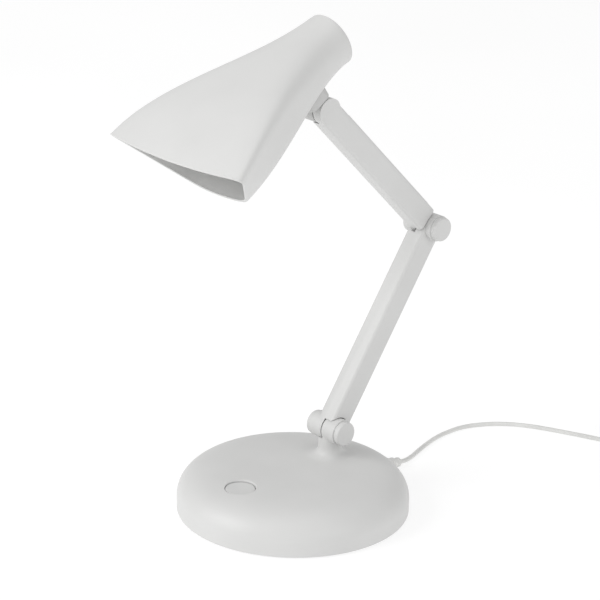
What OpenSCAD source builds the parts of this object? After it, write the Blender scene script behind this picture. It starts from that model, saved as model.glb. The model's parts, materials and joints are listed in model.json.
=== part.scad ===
// Desk lamp with a weighted round base, two half-lapped swing arms and a flared hood.
// The origin is the centre of the pad that the lamp stands on. +Z is up, -Y is the front.
// Both arms and the hood swing in the plane X = 0, on hinge axes parallel to X.

/* [Base] */
// Radius of the round base
base_r = 70; // [62:1:90]
// Height of the dome above the table
dome_h = 26.5; // [24:0.5:36]
// Height of the upright side wall, where the dome starts
side_h = 9; // [6:0.5:12]
// How square the dome's shoulder is, across
dome_square = 6.9; // [3:0.1:9]
// How square the dome's shoulder is, in height
dome_round = 1.85; // [1.5:0.05:3]
// Wall of the base shell
base_wall = 2.4; // [1.8:0.1:3]
// Thickness of the non-slip pad
pad_t = 1.2; // [0.8:0.1:2]
// Thickness of the bottom plate
plate_t = 2; // [1.5:0.1:3]
// Radius of the steel weight
weight_r = 50; // [40:1:54]
// Thickness of the steel weight
weight_t = 6; // [3:0.5:7]

/* [Post] */
// Distance of the post behind the centre of the base
post_y = 30; // [24:1:40]
// Height of the base hinge axis above the table
hinge_z = 43.7; // [42:0.1:60]
// Radius of the neck of the post
neck_r = 7.15; // [6.5:0.05:7.6]
// Radius of the foot of the post, where it flares into the dome
flare_r = 12.4; // [10:0.1:15]

/* [Arms] */
// Length of the lower arm from hinge to hinge
lower_len = 137; // [100:1:200]
// Length of the upper arm from hinge to hinge
upper_len = 126.5; // [100:1:200]
// Width of both arms, along the hinge axes
arm_w = 13; // [11:0.1:16]
// Depth of both arms
arm_d = 15.4; // [14:0.1:15.8]
// Radius of the arms' long edges
arm_edge = 2.2; // [0.5:0.1:3]
// Wall of the arm shells
arm_wall = 1.8; // [1.4:0.1:2.2]
// Angle of the lower arm above the table, leaning back
lower_angle = 55.6; // [45:0.1:70]
// Angle of the upper arm, from the same direction
upper_angle = 135; // [125:0.1:145]

/* [Hinges] */
// Radius of the hinge barrels
barrel_r = 8; // [8:0.1:9]
// Distance from the lamp's middle plane to the outer face of a barrel
barrel_w = 10.3; // [9.5:0.1:12]
// Gap between the two barrels of a hinge
lap_gap = 0.9; // [0.8:0.05:1.2]
// Clearance between a barrel and the shoulder that wraps round it
shoulder_gap = 0.5; // [0.4:0.05:0.8]
// Radius of the hinge bolts
bolt_r = 2; // [1.5:0.1:2.5]
// Running clearance of the hinge bolts
bolt_clear = 0.05; // [0.02:0.01:0.1]
// Radius of the hinge caps
cap_r = 7.4; // [6.5:0.1:7.8]
// Thickness of the hinge caps
cap_t = 3.5; // [2.5:0.1:5]
// Chamfer of the hinge caps
cap_chamfer = 0.9; // [0.3:0.1:1.2]
// Angle that the elbow can close beyond the stored pose
elbow_close = 10; // [0:1:12]

/* [Hood] */
// Radius of the hood's round rear end
hood_r = 16.4; // [15:0.1:20]
// Length of the hood from its rear end to its upper lip
hood_len = 126.5; // [110:0.5:150]
// Rise of the upper lip above the hood's axis
lip_rise = 6.2; // [0:0.1:10]
// Distance of the lower lip behind the upper lip
lip_setback = 20.8; // [10:0.1:30]
// Drop of the lower lip below the hood's axis
lip_drop = 35.3; // [30:0.1:42]
// Half width of the mouth at the middle of its height
mouth_w = 41.8; // [36:0.1:50]
// Taper of the mouth, wider at the top
mouth_taper = 0.43; // [0:0.01:0.45]
// How square the corners of the mouth are
mouth_square = 9; // [3:0.1:10]
// Bow of the upper lip
upper_bow = 3.7; // [0:0.1:6]
// Bow of the lower lip
lower_bow = 1.5; // [0:0.1:4]
// Wall of the hood
hood_wall = 1.8; // [1.4:0.1:2.2]
// Tilt of the hood's axis below level
hood_tilt = 23.6; // [15:0.1:35]
// Distance of the hood's rear end behind the head hinge
hood_back = 4.8; // [0:0.1:10]
// Height of the middle of the hood's rear end above the head hinge
hood_up = 40.6; // [40:0.1:46]
// Direction of the bracket from the head hinge to the hood
bracket_angle = 123.7; // [118:0.1:130]

/* [Button] */
// Distance of the push button in front of the centre of the base
button_y = 42.5; // [38:0.5:46]
// Radius of the push button
button_r = 9; // [7:0.1:10]
// Gap round the push button
button_gap = 0.3; // [0.2:0.05:0.5]
// Depth of the button's top below the dome
button_sunk = 0.7; // [0.3:0.1:1.5]
// Travel of the push button
button_travel = 0.8; // [0.5:0.1:1]

/* [Lead] */
// Diameter of the lead
lead_d = 2.8; // [2.8:0.1:3]
// Height of the lead's exit in the back wall
exit_z = 8.4; // [8:0.1:9]
// Length of the strain relief outside the base
relief_len = 21; // [20:0.5:24]
// Radius of the coil, to the middle of its turns
coil_r = 15.2; // [14:0.1:17]

/* [Hidden] */

tiny = 0.01;
round_fn = 96;
small_fn = 32;
through = 200;

// Heights in the base
shell_z = 0.8;
plate_z = pad_t;
plate_top = plate_z + plate_t;
plate_r = base_r - base_wall - 0.2;
pad_r = base_r - 8;
weight_z = plate_top + 0.1;
weight_top = weight_z + weight_t;
dome_inside = dome_h - base_wall;

// Hinge places
lower_dy = lower_len * cos(lower_angle);
lower_dz = lower_len * sin(lower_angle);
upper_dy = upper_len * cos(upper_angle);
upper_dz = upper_len * sin(upper_angle);
elbow_y = post_y + lower_dy;
elbow_z = hinge_z + lower_dz;
head_y = elbow_y + upper_dy;
head_z = elbow_z + upper_dz;
lap = lap_gap / 2;
shoulder_r = barrel_r + shoulder_gap;
fold = upper_angle - lower_angle;

// Bolt hardware
sink_r = 5;
sink_depth = 3.6;
sink_x = barrel_w - sink_depth;
bolt_head_r = 3.5;
bolt_head_t = 2.2;
nut_r = 4;
nut_t = 2.3;
washer_r = 4;
washer_t = lap_gap - 0.1;
spigot = 1;
ear_x = arm_w / 2;
insert_r = 3;
insert_depth = ear_x - 1.4;

// Arm shells
end_block = 16;
cover_t = 1.8;
cover_lip = 1.1;
cover_gap = 0.1;
screw_inset = 24;
screw_r = 1.2;
screw_head_r = 2.2;
screw_head_t = 1.1;
arm_head_t = 0.9;
arm_screw_len = 6.5;
small_screw_r = 0.88;
small_head_r = 2;
bracket_screw_len = 6;
board_screw_len = 5;
boss_r = 2.6;

// Button and board
dome_z_button = dome_h_at(button_y);
button_top = dome_z_button - button_sunk;
flange_r = button_r + 1.6;
flange_top = inner_h_at(button_y + flange_r) - 0.3;
flange_t = 1.3;
board_z = 12;
board_t = 1.6;
board_w = 30;
board_l = 24;
switch_w = 6;
switch_t = 3.5;
plunger_r = 1.6;
plunger_t = 1.2;
stem_r = 2;
stem_bottom = board_z + board_t + switch_t + plunger_t + button_travel + 0.1;
board_screw_x = 11;
stand_r = 2.6;

// Fasteners of the base
base_boss_r = 3.6;
base_boss_at = base_r - 11;
base_boss_gap = 0.1;
base_screw_len = 8;
ballast_screw_at = 40;
ballast_head_r = 3;
ballast_head_t = 1.6;

// Lead in the base
spigot_r = 6;
clamp_y = 58;
clamp_w = 16;
clamp_l = 6;
relief_drop = -12.5;
relief_r0 = 3.7;
relief_r1 = 2.5;
relief_rib = 0.5;
relief_ribs = 4;
relief_start = base_r - 4;

// Lead on the table: points chosen by hand, from the strain relief to the coil
relief_out = base_r - relief_start + relief_len;
relief_end_y = relief_start + relief_out * cos(relief_drop);
relief_end_z = exit_z + relief_out * sin(relief_drop);
lead_r = lead_d / 2;
CORD_POINTS = [
    [-1, 97, 2], [-3, 104, 1.5], [-7, 115, 1.5], [-11, 127, 1.5], [-14, 139, 1.5],
    [-15, 151, 1.5], [-14, 163, 1.5], [-9, 175, 1.5], [-1, 186, 1.5], [10, 195, 1.5],
    [23, 202, 1.5], [37, 208, 1.5], [51, 213.5, 1.6], [64, 217.5, 1.8], [75.8, 219.5, 1.9]
];
cord_path = concat([[0, relief_end_y, relief_end_z]], CORD_POINTS);
cord_steps = 4;
coil_at = [73, 242];
coil_layers = 2;
coil_columns = 6.1;
coil_pitch = 2.85;
coil_z = 0.5;
coil_half = coil_columns * coil_pitch / 2;
coil_top = coil_z + coil_layers * lead_d + 0.1;
tie_w = 6;
tie_t = 0.5;
tie_slack = 0.9;
tie_angle = 200;
END_POINTS = [
    [95.6, 242, 4.7], [95.9, 249, 4.7], [98.5, 254.5, 4.5], [103.5, 257, 4.3],
    [108.5, 254.5, 4.1], [111, 249, 4], [111.3, 243, 4]
];
plug_start = END_POINTS[6];
plug_heading = 270;
grip_w = 15;
grip_h = 8;
grip_l = 22;
grip_neck = 8;
usb_w = 12;
usb_h = 4.5;
usb_l = 14;
usb_wall = 0.35;

// Hood
hood_sides = 44;
hood_rings = 22;
board_t0 = 0.44;
light_t0 = 0.52;
upper_swell = [1.2, 12];
lower_swell = [4.2, -2.8];
side_swell = 4.5;
square_growth = 1.87;
taper_growth = 0.48;
width_growth = 1.05;

// ---------------------------------------------------------------- shared functions

function dome_point(a, inset) = [
    (base_r - inset) * pow(sin(a), 2 / dome_square),
    side_h + (dome_h - side_h - inset) * pow(cos(a), 2 / dome_round)
];
function dome_curve(inset) = [for (a = [0 : 3 : 90]) dome_point(a, inset)];
function dome_h_at(r) =
    side_h + (dome_h - side_h) * pow(1 - pow(r / base_r, dome_square), 1 / dome_round);
function inner_h_at(r) = side_h + (dome_h - side_h - base_wall)
    * pow(1 - pow(r / (base_r - base_wall), dome_square), 1 / dome_round);

function rounded_rect(w, h, r, steps = 5) = [
    for (q = [0 : 3], i = [0 : steps])
        let (a = 90 * (q + i / steps), sx = (q == 0 || q == 3) ? 1 : -1, sy = q < 2 ? 1 : -1)
            [sx * (w / 2 - r) + r * cos(a), sy * (h / 2 - r) + r * sin(a)]
];

function unit(v) = v / norm(v);
function spline(a, b, c, d, u) =
    0.5 * ((2 * b) + (c - a) * u + (2 * a - 5 * b + 4 * c - d) * u * u
    + (3 * b - a - 3 * c + d) * u * u * u);
function smooth_path(p, steps) = concat(
    [for (i = [0 : len(p) - 2], k = [0 : steps - 1])
        spline(p[max(i - 1, 0)], p[i], p[i + 1], p[min(i + 2, len(p) - 1)], k / steps)],
    [p[len(p) - 1]]
);
function heading(p, i) = unit(p[min(i + 1, len(p) - 1)] - p[max(i - 1, 0)]);
function ring(c, t, r, sides) =
    let (side = unit(cross([0, 0, 1], t)), up = cross(t, side))
        [for (k = [0 : sides - 1])
            c + r * cos(360 * k / sides) * side + r * sin(360 * k / sides) * up];

// ---------------------------------------------------------------- hood surface
// In the hood's own plane, the first number runs from the rear end to the mouth, the second up.

function bend(p0, p1, s, t) =
    let (d = p1 - p0, n = [-d[1], d[0]] / norm(d), c1 = p0 + d / 3 + n * s[0],
         c2 = p0 + d * 2 / 3 + n * s[1], u = 1 - t)
        u * u * u * p0 + 3 * t * u * u * c1 + 3 * t * t * u * c2 + t * t * t * p1;
function hood_top(t) = bend([0, hood_r], [hood_len, lip_rise], upper_swell, t);
function hood_bottom(t) = bend([0, -hood_r], [hood_len - lip_setback, -lip_drop], lower_swell, t);
function hood_mid(t) = (hood_top(t) + hood_bottom(t)) / 2;
function hood_up_dir(t) = let (v = hood_top(t) - hood_bottom(t)) v / norm(v);
function hood_half(t) = norm(hood_top(t) - hood_bottom(t)) / 2;
function hood_width(t) = hood_r + (mouth_w - hood_r) * pow(t, width_growth)
    + side_swell * 4 * t * (1 - t) * (2 * t - 1);
function signed_pow(v, e) = sign(v) * pow(abs(v), e);
// A point of the section at t, inset from the outside: across, up and forward of the section
function section_point(t, a, inset) =
    let (e = 2 / (2 + (mouth_square - 2) * pow(t, square_growth)),
         s = signed_pow(sin(a), e), c = signed_pow(cos(a), e),
         bow = (s > 0 ? upper_bow : lower_bow) * (1 - c * c) * t * t * t)
        [(hood_width(t) - inset) * c * (1 + mouth_taper * pow(t, taper_growth) * s),
         (hood_half(t) - inset) * s, bow];
function hood_point(t, a, inset) =
    let (p = section_point(t, a, inset), m = hood_mid(t), v = hood_up_dir(t))
        [p[0], m[0] + p[1] * v[0] + p[2] * v[1], m[1] + p[1] * v[1] - p[2] * v[0]];
function hood_ring(t, inset) =
    [for (k = [0 : hood_sides - 1]) hood_point(t, 360 * k / hood_sides, inset)];
function quad(a, b, c, d) = [[a, c, b], [a, d, c]];

// A closed slice of the space inside the hood's surface, moved in by inset
module hood_slice(t0, t1, inset, m) {
    n = hood_sides;
    last = (m + 1) * n;
    points = concat(
        [for (i = [0 : m]) each hood_ring(t0 + (t1 - t0) * i / m, inset)],
        [[0, hood_mid(t0)[0], hood_mid(t0)[1]], [0, hood_mid(t1)[0], hood_mid(t1)[1]]]
    );
    sides = [for (i = [0 : m - 1], k = [0 : n - 1]) let (j = (k + 1) % n)
        each quad(i * n + k, (i + 1) * n + k, (i + 1) * n + j, i * n + j)];
    rear = [for (k = [0 : n - 1]) [(k + 1) % n, k, last]];
    front = [for (k = [0 : n - 1]) [m * n + k, m * n + (k + 1) % n, last + 1]];
    hood_frame() polyhedron(points, concat(sides, rear, front));
}

// ---------------------------------------------------------------- placing

module at_base_hinge() {
    translate([0, post_y, hinge_z]) children();
}
module lower_frame() {
    at_base_hinge() rotate([lower_angle, 0, 0]) children();
}
module upper_frame() {
    translate([0, elbow_y, elbow_z]) rotate([upper_angle, 0, 0]) children();
}
module bracket_frame() {
    translate([0, head_y, head_z]) rotate([bracket_angle, 0, 0]) children();
}
module hood_frame() {
    translate([0, head_y + hood_back, head_z + hood_up])
        rotate([hood_tilt, 0, 0]) rotate([0, 0, 180]) children();
}
// Stands what is drawn along +Z on a hood section, with +Z towards the mouth and +Y up
module on_section(t) {
    hood_frame() translate([0, hood_mid(t)[0], hood_mid(t)[1]])
        rotate([atan2(hood_up_dir(t)[1], hood_up_dir(t)[0]), 0, 0]) mirror([0, 0, 1]) children();
}
// Turns what is drawn along +Z towards +X (side 1) or -X (side -1)
module to_side(side) {
    rotate([0, side * 90, 0]) children();
}
module half_space(side) {
    translate([side > 0 ? -lap : lap - through, -through / 2, -through / 2])
        cube([through, through, through]);
}

// ---------------------------------------------------------------- shared pieces

module cap(side) {
    to_side(side) translate([0, 0, barrel_w]) {
        rotate_extrude($fn = round_fn) polygon([
            [0, 0], [cap_r, 0], [cap_r, cap_t - cap_chamfer],
            [cap_r - cap_chamfer * 0.3, cap_t - cap_chamfer * 0.3],
            [cap_r - cap_chamfer, cap_t], [0, cap_t]
        ]);
        translate([0, 0, -spigot]) difference() {
            cylinder(r = sink_r - 0.05, h = spigot + tiny, $fn = round_fn);
            translate([0, 0, -tiny]) cylinder(r = sink_r - 0.8, h = spigot + tiny, $fn = round_fn);
        }
    }
}
// Bolt with its head on the given side, standing off the barrel where it turns under it
module bolt(side, reach, off = 0) {
    to_side(side) {
        translate([0, 0, -reach])
            cylinder(r = bolt_r, h = reach + sink_x + off + tiny, $fn = small_fn);
        translate([0, 0, sink_x + off]) difference() {
            cylinder(r = bolt_head_r, h = bolt_head_t, $fn = small_fn);
            translate([0, 0, bolt_head_t - 1]) cylinder(r = 1.5, h = 2, $fn = 6);
        }
    }
}
module nut(side) {
    to_side(side) translate([0, 0, sink_x + 0.1]) difference() {
        cylinder(r = nut_r, h = nut_t, $fn = 6);
        translate([0, 0, -1]) cylinder(r = bolt_r + 0.02, h = nut_t + 2, $fn = small_fn);
    }
}
module washer() {
    to_side(1) translate([0, 0, lap - washer_t]) difference() {
        cylinder(r = washer_r, h = washer_t, $fn = small_fn);
        translate([0, 0, -1]) cylinder(r = bolt_r + 0.1, h = washer_t + 2, $fn = small_fn);
    }
}
module barrel(side, outer) {
    to_side(side) translate([0, 0, lap]) cylinder(r = barrel_r, h = outer - lap, $fn = round_fn);
}
module barrel_holes(side) {
    to_side(side) {
        translate([0, 0, -lap]) cylinder(r = bolt_r + bolt_clear, h = through, $fn = small_fn);
        translate([0, 0, sink_x]) cylinder(r = sink_r, h = through, $fn = round_fn);
    }
}
module screw(head_r, head_t, shank_r, shank_len) {
    difference() {
        cylinder(r = head_r, h = head_t, $fn = small_fn);
        translate([0, 0, head_t - 0.6]) for (turn = [0, 90])
            rotate([0, 0, turn]) translate([-head_r * 0.6, -0.25, 0]) cube([head_r * 1.2, 0.5, 1]);
    }
    translate([0, 0, -shank_len]) cylinder(r = shank_r, h = shank_len + tiny, $fn = small_fn);
}
module cord_tube(points, sides) {
    n = len(points);
    faces = concat(
        [[for (k = [0 : sides - 1]) k]],
        [[for (k = [sides - 1 : -1 : 0]) (n - 1) * sides + k]],
        [for (i = [0 : n - 2], k = [0 : sides - 1]) let (m = (k + 1) % sides)
            [i * sides + k, (i + 1) * sides + k, (i + 1) * sides + m]],
        [for (i = [0 : n - 2], k = [0 : sides - 1]) let (m = (k + 1) % sides)
            [i * sides + k, (i + 1) * sides + m, i * sides + m]]
    );
    polyhedron([for (i = [0 : n - 1]) each ring(points[i], heading(points, i), lead_r, sides)],
        faces);
}

// ---------------------------------------------------------------- base

module dome_solid(inset, bottom) {
    rotate_extrude($fn = round_fn)
        polygon(concat([[0, bottom]], [[0, dome_h - inset]], dome_curve(inset),
            [[base_r - inset, bottom]]));
}
module post_neck() {
    steps = 14;
    foot_z = dome_h_at(post_y + flare_r) - 0.3;
    neck_z = hinge_z - 9.5;
    translate([0, post_y, 0]) rotate_extrude($fn = round_fn) polygon(concat(
        [[0, hinge_z], [0, foot_z - 1], [flare_r, foot_z - 1]],
        [for (i = [0 : steps]) let (u = i / steps)
            [neck_r + (flare_r - neck_r) * pow(1 - u, 2.4), foot_z + (neck_z - foot_z) * u]],
        [[neck_r, hinge_z]]
    ));
}
module base_boss_places() {
    for (a = [45 : 90 : 315]) rotate([0, 0, a]) translate([base_boss_at, 0, 0]) children();
}
module base_shell() {
    color("whitesmoke") difference() {
        dome_solid(0, shell_z);
        difference() {
            dome_solid(base_wall, shell_z - 1);
            base_boss_places() translate([0, 0, plate_top + base_boss_gap])
                cylinder(r = base_boss_r, h = dome_h, $fn = small_fn);
            translate([0, -button_y, button_top - 7]) difference() {
                cylinder(r = flange_r + 2, h = dome_h, $fn = round_fn);
                translate([0, 0, -1]) cylinder(r = flange_r + 0.4, h = dome_h + 2, $fn = round_fn);
            }
        }
        translate([0, -button_y, 0])
            cylinder(r = button_r + button_gap, h = through, $fn = round_fn);
        translate([0, post_y, 0]) cylinder(r = spigot_r + 0.05, h = through, $fn = round_fn);
        base_boss_places() translate([0, 0, plate_z])
            cylinder(r = screw_r, h = base_screw_len + 3, $fn = small_fn);
        translate([0, relief_start, exit_z]) rotate([relief_drop - 90, 0, 0])
            translate([0, 0, -2]) cylinder(r = relief_r0 + 0.05, h = 20, $fn = small_fn);
    }
}
module base_post() {
    color("whitesmoke") difference() {
        union() {
            difference() {
                post_neck();
                dome_solid(-0.01, 0);
            }
            translate([0, post_y, dome_inside - 3])
                cylinder(r = spigot_r, h = hinge_z - 12 - dome_inside + 3, $fn = round_fn);
            at_base_hinge() barrel(1, barrel_w);
        }
        at_base_hinge() intersection() {
            to_side(-1) translate([0, 0, -lap])
                cylinder(r = shoulder_r, h = through, $fn = round_fn);
            half_space(-1);
        }
        at_base_hinge() translate([-through + lap, -through / 2, 0])
            cube([through, through, through]);
        at_base_hinge() barrel_holes(1);
        translate([-1.5, post_y - 1.5, dome_inside - 4]) cube([3, 3, hinge_z - dome_inside - 5]);
    }
}
module base_plate() {
    color("gainsboro") difference() {
        union() {
            translate([0, 0, plate_z]) cylinder(r = plate_r, h = plate_t, $fn = round_fn);
            for (s = [-1, 1]) translate([s * board_screw_x, -button_y, plate_top - tiny])
                cylinder(r = stand_r, h = board_z - plate_top, $fn = small_fn);
        }
        base_boss_places() {
            translate([0, 0, plate_z - 1]) cylinder(r = screw_r + 0.3, h = 10, $fn = small_fn);
            translate([0, 0, plate_z - 1]) cylinder(r = screw_head_r + 0.3, h = 2.2, $fn = small_fn);
        }
        for (s = [-1, 1]) translate([s * board_screw_x, -button_y, board_z - 6])
            cylinder(r = 0.9, h = 10, $fn = small_fn);
        for (a = [60 : 120 : 300]) rotate([0, 0, a]) translate([ballast_screw_at, 0, plate_z - 1])
            cylinder(r = screw_r, h = 10, $fn = small_fn);
    }
}
module non_slip_pad() {
    color("dimgray") difference() {
        cylinder(r = pad_r, h = pad_t, $fn = round_fn);
        base_boss_places() translate([0, 0, -1]) cylinder(r = 3, h = 4, $fn = small_fn);
    }
}
module ballast_weight() {
    color("slategray") difference() {
        translate([0, 0, weight_z]) cylinder(r = weight_r, h = weight_t, $fn = round_fn);
        translate([-board_w / 2 - 1, -button_y - board_l / 2 - 1, 0])
            cube([board_w + 2, board_l + 2, through]);
        for (a = [60 : 120 : 300]) rotate([0, 0, a]) translate([ballast_screw_at, 0, 0])
            cylinder(r = screw_r + 0.3, h = through, $fn = small_fn);
    }
}
module ballast_screws() {
    color("silver") for (a = [60 : 120 : 300]) rotate([0, 0, a])
        translate([ballast_screw_at, 0, weight_top])
            screw(ballast_head_r, ballast_head_t, screw_r - 0.02, weight_t + ballast_head_t);
}
module base_screws() {
    color("silver") base_boss_places() translate([0, 0, plate_z + 1.2]) mirror([0, 0, 1])
        screw(screw_head_r, screw_head_t, screw_r - 0.02, base_screw_len);
}
module control_board() {
    color("seagreen") difference() {
        translate([-board_w / 2, -button_y - board_l / 2, board_z]) cube([board_w, board_l, board_t]);
        for (s = [-1, 1]) translate([s * board_screw_x, -button_y, board_z - 1])
            cylinder(r = 1.2, h = 4, $fn = small_fn);
    }
}
module tact_switch() {
    color("black") translate([0, -button_y, board_z + board_t]) {
        translate([-switch_w / 2, -switch_w / 2, 0]) cube([switch_w, switch_w, switch_t]);
        translate([0, 0, switch_t - tiny]) cylinder(r = plunger_r, h = plunger_t, $fn = small_fn);
    }
}
module board_screws() {
    color("silver") for (s = [-1, 1]) translate([s * board_screw_x, -button_y, board_z + board_t])
        screw(small_head_r, 1, small_screw_r, board_screw_len);
}
module cord_clamp() {
    color("white") difference() {
        translate([-clamp_w / 2, clamp_y - clamp_l / 2, plate_top + 0.05])
            cube([clamp_w, clamp_l, exit_z + 1.6]);
        translate([-1.25, clamp_y - clamp_l, plate_top]) cube([2.5, 2 * clamp_l, exit_z - 0.1]);
        for (s = [-1, 1]) translate([s * 5.2, clamp_y, 0])
            cylinder(r = screw_r, h = through, $fn = small_fn);
    }
}
module clamp_screws() {
    color("silver") for (s = [-1, 1]) translate([s * 5.2, clamp_y, plate_top + exit_z + 1.65])
        screw(screw_head_r - 0.1, screw_head_t + 0.1, screw_r - 0.02, exit_z);
}
module base_lead() {
    bend_y = weight_r + 1;
    run_z = weight_top + lead_r + 0.2;
    dy = relief_start - 0.2 - bend_y;
    dz = exit_z - run_z;
    color("whitesmoke") {
        translate([0, 15, run_z]) rotate([-90, 0, 0])
            cylinder(r = lead_r - 0.2, h = bend_y - 15, $fn = 24);
        translate([0, bend_y, run_z]) sphere(r = lead_r - 0.2, $fn = 24);
        translate([0, bend_y, run_z]) rotate([atan2(dz, dy) - 90, 0, 0])
            cylinder(r = lead_r - 0.2, h = norm([dy, dz]), $fn = 24);
        translate([0, post_y, run_z]) cylinder(r = 0.9, h = hinge_z - 11.5 - run_z, $fn = 24);
    }
}
module strain_relief() {
    color("whitesmoke") translate([0, relief_start, exit_z]) rotate([relief_drop - 90, 0, 0])
        rotate_extrude($fn = 48) polygon(concat(
            [[0, 0], [relief_r0, 0]],
            [for (i = [0 : relief_ribs - 1]) each
                let (z = relief_out * (0.34 + 0.6 * i / (relief_ribs - 1)),
                     r = relief_r0 + (relief_r1 - relief_r0) * z / relief_out)
                    [[r, z - 1.3], [r + relief_rib, z - 1], [r + relief_rib, z + 0.4],
                     [r, z + 0.7]]],
            [[relief_r1, relief_out], [0, relief_out]]
        ));
}
module power_button() {
    color("white") translate([0, -button_y, 0]) {
        translate([0, 0, flange_top - tiny])
            cylinder(r = button_r, h = button_top - flange_top + tiny, $fn = round_fn);
        translate([0, 0, flange_top - flange_t]) cylinder(r = flange_r, h = flange_t, $fn = round_fn);
        translate([0, 0, stem_bottom])
            cylinder(r = stem_r, h = flange_top - flange_t - stem_bottom + tiny, $fn = small_fn);
    }
}

// ---------------------------------------------------------------- lead on the table

module power_cord() {
    color("whitesmoke") cord_tube(smooth_path(cord_path, cord_steps), 8);
}
module power_cord_coil() {
    color("whitesmoke") {
        translate([coil_at[0], coil_at[1], coil_z]) rotate_extrude($fn = 64)
            translate([coil_r - coil_half, 0]) square([2 * coil_half, coil_top - coil_z]);
        cord_tube(smooth_path(END_POINTS, 3), 8);
    }
}
module cord_tie() {
    color("dimgray") translate([coil_at[0], coil_at[1], 0]) rotate([0, 0, tie_angle])
        translate([coil_r - coil_half - tie_slack - tie_t, -tie_w / 2, 0]) difference() {
            cube([2 * (coil_half + tie_t) + tie_slack + 0.1, tie_w, coil_top + tie_t]);
            translate([tie_t, -1, tie_t])
                cube([2 * coil_half + tie_slack + 0.1, tie_w + 2, coil_top - tie_t + 0.05]);
        }
}
module at_plug() {
    translate([plug_start[0], plug_start[1], grip_h / 2]) rotate([0, 0, plug_heading - 90])
        children();
}
module usb_plug_grip() {
    color("whitesmoke") at_plug() {
        rotate([-90, 0, 0]) cylinder(r = 2.6, h = grip_neck + 1, $fn = small_fn);
        translate([0, grip_neck, 0]) rotate([-90, 0, 0])
            linear_extrude(grip_l) polygon(rounded_rect(grip_w, grip_h, 1.8));
    }
}
module usb_plug_shell() {
    color("silver") at_plug() translate([-usb_w / 2, grip_neck + grip_l, -usb_h / 2]) difference() {
        cube([usb_w, usb_l, usb_h]);
        translate([usb_wall, -1, usb_wall])
            cube([usb_w - 2 * usb_wall, usb_l + 2, usb_h - 2 * usb_wall]);
        for (x = [2.2, usb_w - 4.5], z = [-1, usb_h - 1]) translate([x, 6, z]) cube([2.3, 2.6, 2]);
    }
}
module usb_contact_block() {
    color("black") at_plug()
        translate([-usb_w / 2 + usb_wall + 0.1, grip_neck + grip_l, -usb_h / 2 + usb_wall + 0.05])
            cube([usb_w - 2 * usb_wall - 0.2, usb_l - 1.5, 1.8]);
}

// ---------------------------------------------------------------- arms
// Each arm lies along +Y from its lower hinge. Its cover is on -Z, the outside of the fold.

module arm_bar(length) {
    rotate([-90, 0, 0]) linear_extrude(length) polygon(rounded_rect(arm_w, arm_d, arm_edge));
}
// The room for the mating barrel and arm, on the given side of the middle plane.
module lap_room(side, other_angle) {
    intersection() {
        half_space(side);
        union() {
            to_side(side) translate([0, 0, -lap])
                cylinder(r = shoulder_r, h = through, $fn = round_fn);
            if (other_angle != undef) rotate([other_angle, 0, 0])
                translate([-through / 2, 0, -arm_d / 2 - shoulder_gap])
                    cube([through, through, arm_d + 2 * shoulder_gap]);
        }
    }
}
module arm_channel(length) {
    translate([-arm_w / 2 + arm_wall, end_block, -arm_d / 2 + cover_t])
        cube([arm_w - 2 * arm_wall, length - 2 * end_block, arm_d - cover_t - arm_wall]);
    translate([-arm_w / 2 + cover_lip, end_block - 1, -arm_d / 2 - 1])
        cube([arm_w - 2 * cover_lip, length - 2 * end_block + 2, cover_t + 1 + tiny]);
}
module arm_bosses(length) {
    for (s = [screw_inset, length - screw_inset])
        translate([0, s, -arm_d / 2 + cover_t + cover_gap])
            cylinder(r = boss_r, h = arm_d - cover_t - cover_gap - arm_wall / 2, $fn = small_fn);
}
module arm_screw_places(length) {
    for (s = [screw_inset, length - screw_inset])
        translate([0, s, -arm_d / 2]) mirror([0, 0, 1]) children();
}
module lead_slots(length, first_side, last_side) {
    for (e = [[2, first_side], [length - end_block - 1, last_side]])
        translate([e[1] > 0 ? lap - 1 : -lap - 3.5, e[0], -arm_d / 2 + 1.2])
            cube([4.5, end_block - 1, 2.2]);
}
// An arm shell: own barrels on first_side and last_side, room for the neighbours on the others
module arm_shell(length, first_side, last_side, last_outer, first_other, last_other) {
    difference() {
        union() {
            difference() {
                arm_bar(length);
                lap_room(-first_side, first_other);
                translate([0, length, 0]) lap_room(-last_side, last_other);
                arm_channel(length);
            }
            arm_bosses(length);
            barrel(first_side, barrel_w);
            translate([0, length, 0]) barrel(last_side, last_outer);
        }
        barrel_holes(first_side);
        arm_screw_places(length) translate([0, 0, -10])
            cylinder(r = 0.9, h = 10, $fn = small_fn);
        lead_slots(length, first_side, last_side);
        children();
    }
}
module arm_cover(length) {
    difference() {
        translate([-arm_w / 2 + cover_lip + cover_gap, end_block - 1 + cover_gap, -arm_d / 2])
            cube([arm_w - 2 * (cover_lip + cover_gap), length - 2 * (end_block - 1 + cover_gap),
                cover_t]);
        arm_screw_places(length) {
            translate([0, 0, -5]) cylinder(r = screw_r + 0.1, h = 10, $fn = small_fn);
            translate([0, 0, -1]) cylinder(r = screw_head_r + 0.2, h = 5, $fn = small_fn);
        }
    }
}
module arm_screws(length) {
    arm_screw_places(length) translate([0, 0, -1])
        screw(screw_head_r, arm_head_t, small_screw_r, arm_screw_len);
}
module arm_lead(length) {
    for (s = [0, 1]) translate([3.6, end_block + 1, -arm_d / 2 + cover_t + 1.3 + 1.6 * s])
        rotate([-90, 0, 0]) cylinder(r = 0.7, h = length - 2 * end_block - 2, $fn = 16);
}

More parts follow.
